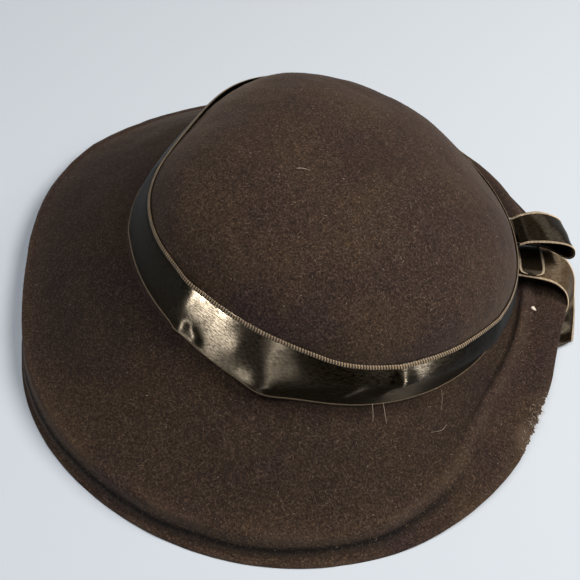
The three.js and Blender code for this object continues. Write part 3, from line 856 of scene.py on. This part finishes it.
def nap(name, grid, normals, first, last, count, material=nap_fibres, size=1.0, brightness=1.0):
    spots, facing = scattered(grid, normals, first, last, count)
    ways = unit(np.cross(facing, RNG.normal(size=(count, 3))))
    return fibre_mesh(
        name, spots, facing, ways,
        lengths=size * RNG.uniform(0.5, 2.0, count),
        widths=RNG.uniform(0.05, 0.1, count),
        lifts=RNG.uniform(0.0, 0.22, count),
        curls=RNG.normal(0, 0.35, count),
        shades=np.clip(brightness * RNG.beta(1.3, 4.0, count), 0, 1),
        material=material,
    )


felt_face = felt_grid()
felt_facing = felt_normals(felt_face)
make_felt(felt_face, felt_facing)
inner_face = felt_face - felt_facing * FELT
nap("crown_nap", felt_face, felt_facing, NAP_FROM, BARE_FROM, CROWN_NAP)
nap("brim_nap", felt_face, felt_facing, BRIM_FROM, LAST_COLUMN, BRIM_NAP)
nap("inner_nap", inner_face, -felt_facing, NAP_FROM, LAST_COLUMN, INNER_NAP)
nap("pale_lint", felt_face, felt_facing, NAP_FROM, BARE_FROM, LINT, **PALE)
nap("brim_lint", felt_face, felt_facing, BRIM_FROM, LAST_COLUMN, LINT, **PALE)


# The ribbon round the crown

FOLD_SHARPNESS = 3.6  # how fast the ribbon falls back to the crown below its fold
BAND_ROWS = 480
BAND_ABOVE, BAND_BELOW = 18, 13  # points across the band above and below its fold
BAND_RADIUS = 92.0  # for lengths along the band
UPPER_SELVEDGE, LOWER_SELVEDGE = 1.6, 1.0  # widths of the ladder and the dotted cord
TOP_TUCK, TOP_TUCK_WIDTH = 0.35, 3.0  # how far the top edge is drawn in, and over what width
SELVEDGE_SIDES = 10
RIB_POINTS = 4  # points along each rib of a selvedge
RIB_GAP = 0.45  # height of a selvedge between two ribs, a share of a rib's
RIB_UNDER = 0.6  # how far a selvedge reaches into the ribbon, a share of a rib's height


def creased(angle, height):
    """How far the creases lift the ribbon's face."""
    lift = np.zeros(np.broadcast(angle, height).shape)
    per_degree = math.radians(BAND_RADIUS)
    for crease in CREASES:
        (at, low), (to, high) = crease["start"], crease["end"]
        x = turned_from(angle, at) * per_degree
        y = (height - low) * RIBBON_WIDTH
        run = (to - at) * per_degree
        climb = (high - low) * RIBBON_WIDTH
        t = np.clip((x * run + y * climb) / (run * run + climb * climb), 0, 1)
        away = (x - run * t) ** 2 + (y - climb * t) ** 2
        lift = lift + crease["rise"] * np.exp(-away / crease["wide"] ** 2)
    return lift


def band_top(angle):
    return 1 - around(RIBBON_FOLDS, "slip", angle)


def band_point(angle, height, stand_off=0.0):
    """A point on the ribbon's outer face, at a height that is a share of its width."""
    fold = {key: around(RIBBON_FOLDS, key, angle) for key in RIBBON_FOLDS[0]}
    above = np.clip((height - fold["crest"]) / (1 - fold["slip"] - fold["crest"]), 0, 1)
    upper = fold["belly"] + (fold["top"] - fold["belly"]) * smoothstep(above)
    below = np.clip(height / fold["crest"], 0, 1)
    lower = fold["low"] + (fold["belly"] - fold["low"]) * below ** FOLD_SHARPNESS
    stand = RIBBON_STAND * np.maximum(np.where(height > fold["crest"], upper, lower), 0)
    wall = math.hypot(CROWN_RISE, 0.5 * CROWN_TAPER * CROWN_WIDTH)
    rise = (RIBBON_FOOT + height * RIBBON_WIDTH) / wall
    from_top = (1 - fold["slip"] - height) * RIBBON_WIDTH
    tucked = TOP_TUCK * smoothstep(1 - from_top / TOP_TUCK_WIDTH)
    lift = CLEAR + RIBBON + stand + creased(angle, height) + stand_off - tucked
    return off_crown(rise, angle, lift)


def make_band():
    angle = np.arange(BAND_ROWS) * 360 / BAND_ROWS
    crest, top = around(RIBBON_FOLDS, "crest", angle), band_top(angle)
    heights = [crest + (top - crest) * share for share in np.linspace(1, 0, BAND_ABOVE)]
    heights += [crest * share for share in np.linspace(1, 0, BAND_BELOW)[1:]]
    grid = np.stack([band_point(angle, height) for height in heights], 1)
    normals = grid_normals(grid, looped_rows=True)
    path, sources = wrapped(grid, normals, RIBBON)
    along = np.broadcast_to(np.radians(angle)[:, None] * BAND_RADIUS, path.shape[:2])
    across = np.stack(heights, 1)[:, sources] * RIBBON_WIDTH
    return make_piece(
        "ribbon_round_crown", path, tube_faces(path, closed=True), satin,
        replaces=["ribbon_band"], along=np.stack([along, across], -1),
    )


def make_selvedge(name, edge, inner, normals, pitch, height, material, looped=False, slant=0.35):
    """A woven edge: a flat cord between two lines, ribbed crosswise once every pitch."""
    if looped:
        edge, inner, normals = (np.concatenate([line, line[:1]]) for line in (edge, inner, normals))
    reach = reaches(edge)
    ribs = round(reach[-1] / pitch)
    samples = ribs * RIB_POINTS + (0 if looped else 1)
    places = reach[-1] * np.arange(samples) / (ribs * RIB_POINTS)

    def read(line):
        return np.stack([np.interp(places, reach, line[:, axis]) for axis in range(3)], -1)

    edge, inner, normals = read(edge), read(inner), unit(read(normals))
    ring, rungs = [], []
    for k in range(SELVEDGE_SIDES):
        turn = math.tau * k / SELVEDGE_SIDES
        share = 0.5 + 0.5 * math.cos(turn)
        wave = 0.5 + 0.5 * np.cos(math.tau * (places / reach[-1] * ribs + slant * share))
        rung = smoothstep(1.5 * wave - 0.2)
        swell = RIB_GAP + (1 - RIB_GAP) * rung if turn < math.pi else RIB_UNDER
        lift = math.sin(turn) * height * swell
        ring.append(inner + (edge - inner) * share + normals * np.reshape(lift, (-1, 1)))
        rungs.append(rung)
    path = np.stack(ring[::-1], 1)
    return make_piece(
        name, path, tube_faces(path, closed=looped), material,
        attributes={"rung": np.stack(rungs[::-1], 1)},
    )


def band_selvedge(name, from_edge, width, pitch, height):
    """A selvedge on the band. from_edge gives its outer line, and width how far it reaches in."""
    angle = np.arange(2 * BAND_ROWS) * 180 / BAND_ROWS
    outer = from_edge(angle)
    lines = [outer + width / RIBBON_WIDTH * share for share in (0, 0.5, 1)]
    edge, middle, inner = (band_point(angle, line) for line in lines)
    along = np.roll(middle, -1, 0) - np.roll(middle, 1, 0)
    normals = unit(np.cross(inner - edge, along)) * math.copysign(1, -width)
    return make_selvedge(name, edge, inner, normals, pitch, height, band_edge, looped=True)


band = make_band()
upper_selvedge = band_selvedge("ribbon_upper_selvedge", band_top, -UPPER_SELVEDGE, 1.15, 0.35)
lower_selvedge = band_selvedge("ribbon_lower_selvedge", np.zeros_like, LOWER_SELVEDGE, 0.7, 0.25)


# The bow

BOW_COLUMNS = 14
BOW_ROWS = 96
RUMPLE_SIZE = 11
BOW_EDGE_OUT, BOW_EDGE_IN = 0.2, 1.3  # how far a selvedge reaches past a strip's edge and inwards
BOW_RIB_PITCH, BOW_RIB_HEIGHT = 0.6, 0.5


def bow_point(out, side, height):
    angle = BOW_AT + np.degrees(side / foot_radius(BOW_AT))
    above = np.clip(height - foot_height(angle), RIBBON_FOOT, RIBBON_WIDTH)
    point = off_crown(above / CROWN_RISE, angle, 2 * CLEAR + 2 * RIBBON_CAD)
    point = point + polar(1.0, angle, 0.0) * out
    point[..., 2] = height
    return point


def loop_place(out, side, up):
    height = foot_height(BOW_AT) + up * LOOP_RISE
    return bow_point(out * LOOP_REACH, side * BOW_WIDTH, height)


def tail_place(out, side, up):
    brim = brim_section(np.array([BOW_AT]))[-1, 0, 0]
    return bow_point(out * brim, side * BOW_WIDTH, up * foot_height(BOW_AT))


def knot_place(out, side, up):
    face = TAIL_ROWS[1]["near"]["up"] * foot_height(BOW_AT) + RIBBON_CAD + CLEAR
    return bow_point(KNOT_START + out * KNOT_LENGTH, side * BOW_WIDTH, face + up * KNOT_RISE)


def make_strip(name, rows, place, node, material, rumple, seed):
    """A strip of the bow between its two edges, with its selvedges. rumple is its unevenness."""
    stretches = len(rows) - 1
    counts = [BOW_ROWS // stretches + (i < BOW_ROWS % stretches) for i in range(stretches)]
    near, far = (
        through(np.array([place(**row[side]).reshape(3) for row in rows]), counts)
        for side in ("near", "far")
    )
    share = np.linspace(0, 1, BOW_COLUMNS + 1)[None, :, None]
    grid = far[:, None] * (1 - share) + near[:, None] * share
    normals = grid_normals(grid)
    inside = np.sin(math.pi * share)
    grid = grid + normals * rumple * inside * ripples(grid, RUMPLE_SIZE, seed)[..., None]
    normals = grid_normals(grid)
    path, sources = wrapped(grid, normals, RIBBON)
    along = np.broadcast_to(reaches((near + far) / 2)[:, None], path.shape[:2])
    across = np.broadcast_to((sources * BOW_WIDTH / BOW_COLUMNS)[None], path.shape[:2])
    piece = make_piece(
        name, path, tube_faces(path), material,
        replaces=[node], along=np.stack([along, across], -1),
    )
    selvedges = []
    for side, edge, inner in (("far", 0, 1), ("near", -1, -2)):
        inward = unit(grid[:, inner] - grid[:, edge])
        line = grid[:, edge] - normals[:, edge] * RIBBON / 2
        selvedges.append(make_selvedge(
            f"{name}_{side}_selvedge", line - BOW_EDGE_OUT * inward, line + BOW_EDGE_IN * inward,
            normals[:, edge], BOW_RIB_PITCH, BOW_RIB_HEIGHT, bow_edge_painted_highlight, slant=0.5,
        ))
    return piece, selvedges


loop, loop_edges = make_strip(
    "bow_ribbon_loop", LOOP_ROWS, loop_place, "bow_loop", bow_satin, rumple=0.3, seed=31,
)
tail, tail_edges = make_strip(
    "bow_ribbon_tail", TAIL_ROWS, tail_place, "bow_tail", tail_satin_painted_highlight, rumple=0.35, seed=32,
)
knot, knot_edges = make_strip(
    "bow_ribbon_knot", KNOT_ROWS, knot_place, "bow_knot", bow_satin, rumple=0.1, seed=33,
)


# Loose threads, stray hairs and a crumb

STRAND_SIDES = 6
STRAND_STEPS = 5
STRAND_LEAN = np.array([0.31, 0.17, 0.94])  # a direction that no strand runs along
THREAD_RADIUS = 0.14


def strand(name, points, radius, shade):
    """A thin round thread through points, thinner towards its end."""
    path = through(np.array(points, float), [STRAND_STEPS] * (len(points) - 1))
    along = unit(np.gradient(path, axis=0))
    across = unit(np.cross(along, STRAND_LEAN))
    third = np.cross(along, across)
    turns = math.tau * np.arange(STRAND_SIDES) / STRAND_SIDES
    thinning = np.sqrt(np.clip(1.15 - np.linspace(0, 1, len(path)), 0.3, 1))
    spokes = np.cos(turns)[None, :, None] * across[:, None]
    spokes = spokes + np.sin(turns)[None, :, None] * third[:, None]
    ring = path[:, None] + spokes * (radius * thinning)[:, None, None]
    shades = {"shade": np.full(ring.shape[:2], shade)}
    return make_piece(name, ring, tube_faces(ring), pale_fibres, attributes=shades)


def band_thread(name, angle, out, drop, bend):
    """A thread that hangs out from the ribbon's lower selvedge over the brim."""
    start = band_point(np.array([angle]), np.array([0.02]), 0.1)[0]
    points = []
    for t in (0.0, 0.3, 0.65, 1.0):
        turned = angle + bend * t * t
        spot = start + polar(1.0, turned, 0.0) * out * t
        spot[2] -= drop * t ** 1.4
        points.append(spot)
    return strand(name, points, THREAD_RADIUS, 0.2)


def on_felt(angle, out, lift):
    """A point on or above the brim's face, at a distance from the crown's foot."""
    angle = np.array([float(angle)])
    section = through(brim_section(angle), SECTION_STEPS)[:, 0]
    height = np.interp(out, section[:, 0], section[:, 1])
    return polar(foot_radius(angle) + out, angle, height + lift)[0]


def on_crown(angle, rise, lift):
    return off_crown(np.array([rise]), np.array([float(angle)]), np.array([lift]))[0]


band_thread("loose_thread_long", 65.0, out=6.9, drop=5.0, bend=3.0)
band_thread("loose_thread_short", 62.0, out=5.5, drop=5.0, bend=-2.0)
hair = [on_crown(341, 0.96, 0.5), on_crown(343, 0.966, 1.1), on_crown(346, 0.973, 0.5)]
strand("hair_on_crown", hair, 0.09, shade=0.8)
hair = [on_felt(84, 1.5, 0.6), on_felt(83, 4.5, 1.3), on_felt(81.5, 8.0, 0.6)]
strand("hair_on_brim", hair, 0.06, shade=0.3)
hair = [on_felt(81, 14.1, 0.5), on_felt(79, 15.5, 1.2), on_felt(76, 14.8, 0.5)]
strand("hair_by_crest", hair, 0.06, shade=0.4)


def make_crumb(centre, size):
    """A pale crumb: a small uneven lump."""
    made = bmesh.new()
    bmesh.ops.create_icosphere(made, subdivisions=2, radius=1.0)
    points = np.array([vertex.co[:] for vertex in made.verts])
    faces = [[vertex.index for vertex in face.verts] for face in made.faces]
    made.free()
    points = points * (1 + 0.22 * ripples(points, 1.3, 41))[:, None]
    points = centre + points * np.array([1.0, 0.62, 0.4]) * size
    shades = {"shade": np.ones(len(points))}
    return make_piece("crumb_on_brim", points, faces, pale_fibres, attributes=shades)


make_crumb(on_felt(128.0, 15.0, lift=0.6), size=1.5)


def make_fray(grid, normals, count=900):
    """Fibres that stand out of the worn nick in the brim's edge."""
    rng = np.random.default_rng(12)
    angle = WORN_AT + WORN_SPAN * rng.normal(0, 0.55, count)
    row = np.searchsorted(FELT_ANGLES, angle)
    column = LAST_COLUMN - rng.integers(0, 4, count)
    outward = polar(1.0, angle, 0.0)
    ways = unit(outward + rng.normal(0, 0.75, (count, 3)))
    facing = unit(np.cross(ways, rng.normal(size=(count, 3))))
    starts = grid[row, column] - normals[row, column] * rng.uniform(0, FELT, (count, 1))
    return fibre_mesh(
        "worn_edge_fibres", starts, facing, ways,
        lengths=rng.uniform(0.6, 3.2, count),
        widths=rng.uniform(0.09, 0.18, count),
        lifts=rng.uniform(-0.2, 0.3, count),
        curls=rng.normal(0, 0.5, count),
        shades=rng.beta(2.0, 1.6, count),
        material=pale_fibres,
    )


make_fray(felt_face, felt_facing)


# The floor, the camera and the light

FLOOR_HALF = 4.0
CAMERA_TURN, CAMERA_HEIGHT = 43.5, 53.3
CAMERA_DISTANCE = 0.323
CAMERA_TARGET = Vector((0.0289, -0.0365, 0.06))
CAMERA_ROLL = 9.7
LENS = 50.09  # on a 36 mm sensor
WORLD_COLOUR = (0.9, 0.93, 1.0)
WORLD_STRENGTH = 0.06
LIGHT_TARGET = (0, 0, 0.04)

# turn and height, of the camera too, are angles round the hat and above the floor.
AREA_LIGHTS = [
    dict(name="key", turn=140, height=52, distance=1.3, power=18.0, colour=(1.0, 0.92, 0.82)),
    dict(name="overhead", turn=10, height=72, distance=1.4, power=9.0, colour=(1.0, 0.96, 0.93)),
]
AREA_SIZE = 0.8

# Spotlights that reach the satin band alone, for its bright patches. aim is a place round the
# band in degrees, and cone the angle of the light's beam.
GLOSS_LIGHTS = [
    dict(name="gloss_left", turn=0, aim=14, radius=0.04, cone=7, power=950.0),
    dict(name="gloss_front", turn=33, aim=44, radius=0.12, cone=8, power=380.0),
    dict(name="gloss_right", turn=105, aim=75, radius=0.25, cone=14, power=900.0),
]
GLOSS_HEIGHT, GLOSS_DISTANCE = 24, 1.4
GLOSS_COLOUR = (1.0, 0.95, 0.88)
GLOSS_BLEND = 0.6


def make_floor():
    low, high = -FLOOR_HALF, FLOOR_HALF
    corners = [(low, low, 0), (high, low, 0), (high, high, 0), (low, high, 0)]
    mesh = bpy.data.meshes.new("floor")
    mesh.from_pydata(corners, [], [(0, 1, 2, 3)])
    colour = (*FLOOR_COLOUR, 1)
    mesh.materials.append(Shading("pale_floor").finish(Base_Color=colour, Roughness=0.9))
    add_object("floor", mesh)


def direction(turn, height):
    """The direction at an angle round the hat and an angle above the floor."""
    turn, height = math.radians(turn), math.radians(height)
    across = math.cos(height)
    return Vector((math.sin(turn) * across, -math.cos(turn) * across, math.sin(height)))


def looking(position, target, roll=0.0):
    """The matrix of something at a position that looks at a target."""
    back = (position - target).normalized()
    right = Vector((0, 0, 1)).cross(back).normalized()
    up = back.cross(right)
    c, s = math.cos(math.radians(roll)), math.sin(math.radians(roll))
    columns = (right * c + up * s, up * c - right * s, back)
    return Matrix.Translation(position) @ Matrix(columns).transposed().to_4x4()


def make_camera():
    data = bpy.data.cameras.new("camera")
    data.lens = LENS
    data.sensor_width = 36.0
    data.clip_start = 0.01
    camera = add_object("camera", data)
    position = CAMERA_TARGET + direction(CAMERA_TURN, CAMERA_HEIGHT) * CAMERA_DISTANCE
    camera.matrix_world = looking(position, CAMERA_TARGET, CAMERA_ROLL)
    bpy.context.scene.camera = camera


def add_light(name, kind, target, turn, height, distance, power, colour):
    """A light aimed at a target, in a direction and at a distance from it."""
    data = bpy.data.lights.new(name, kind)
    data.energy = power
    data.color = colour
    light = add_object(name, data)
    target = Vector(target)
    light.matrix_world = looking(target + direction(turn, height) * distance, target)
    return light


def make_area_lights():
    for row in AREA_LIGHTS:
        light = add_light(kind="AREA", target=LIGHT_TARGET, **row)
        light.data.shape = "DISK"
        light.data.size = AREA_SIZE


def make_gloss_lights():
    glossy = bpy.data.collections.new("satin_band")
    glossy.objects.link(band)
    for row in GLOSS_LIGHTS:
        place = band_point(np.array([row["aim"]]), np.array([0.5]))[0]
        target = (place + (*CROWN_AXIS, 0)) * MM
        light = add_light(
            row["name"], "SPOT", target, row["turn"], GLOSS_HEIGHT, GLOSS_DISTANCE,
            row["power"], GLOSS_COLOUR,
        )
        light.data.shadow_soft_size = row["radius"]
        light.data.spot_size = math.radians(row["cone"])
        light.data.spot_blend = GLOSS_BLEND
        light.light_linking.receiver_collection = glossy


def make_world():
    world = bpy.data.worlds.new("studio")
    world.use_nodes = True
    background = world.node_tree.nodes["Background"]
    background.inputs["Color"].default_value = (*WORLD_COLOUR, 1)
    background.inputs["Strength"].default_value = WORLD_STRENGTH
    bpy.context.scene.world = world
    bpy.context.scene.view_settings.view_transform = "Standard"


make_floor()
make_camera()
make_area_lights()
make_gloss_lights()
make_world()
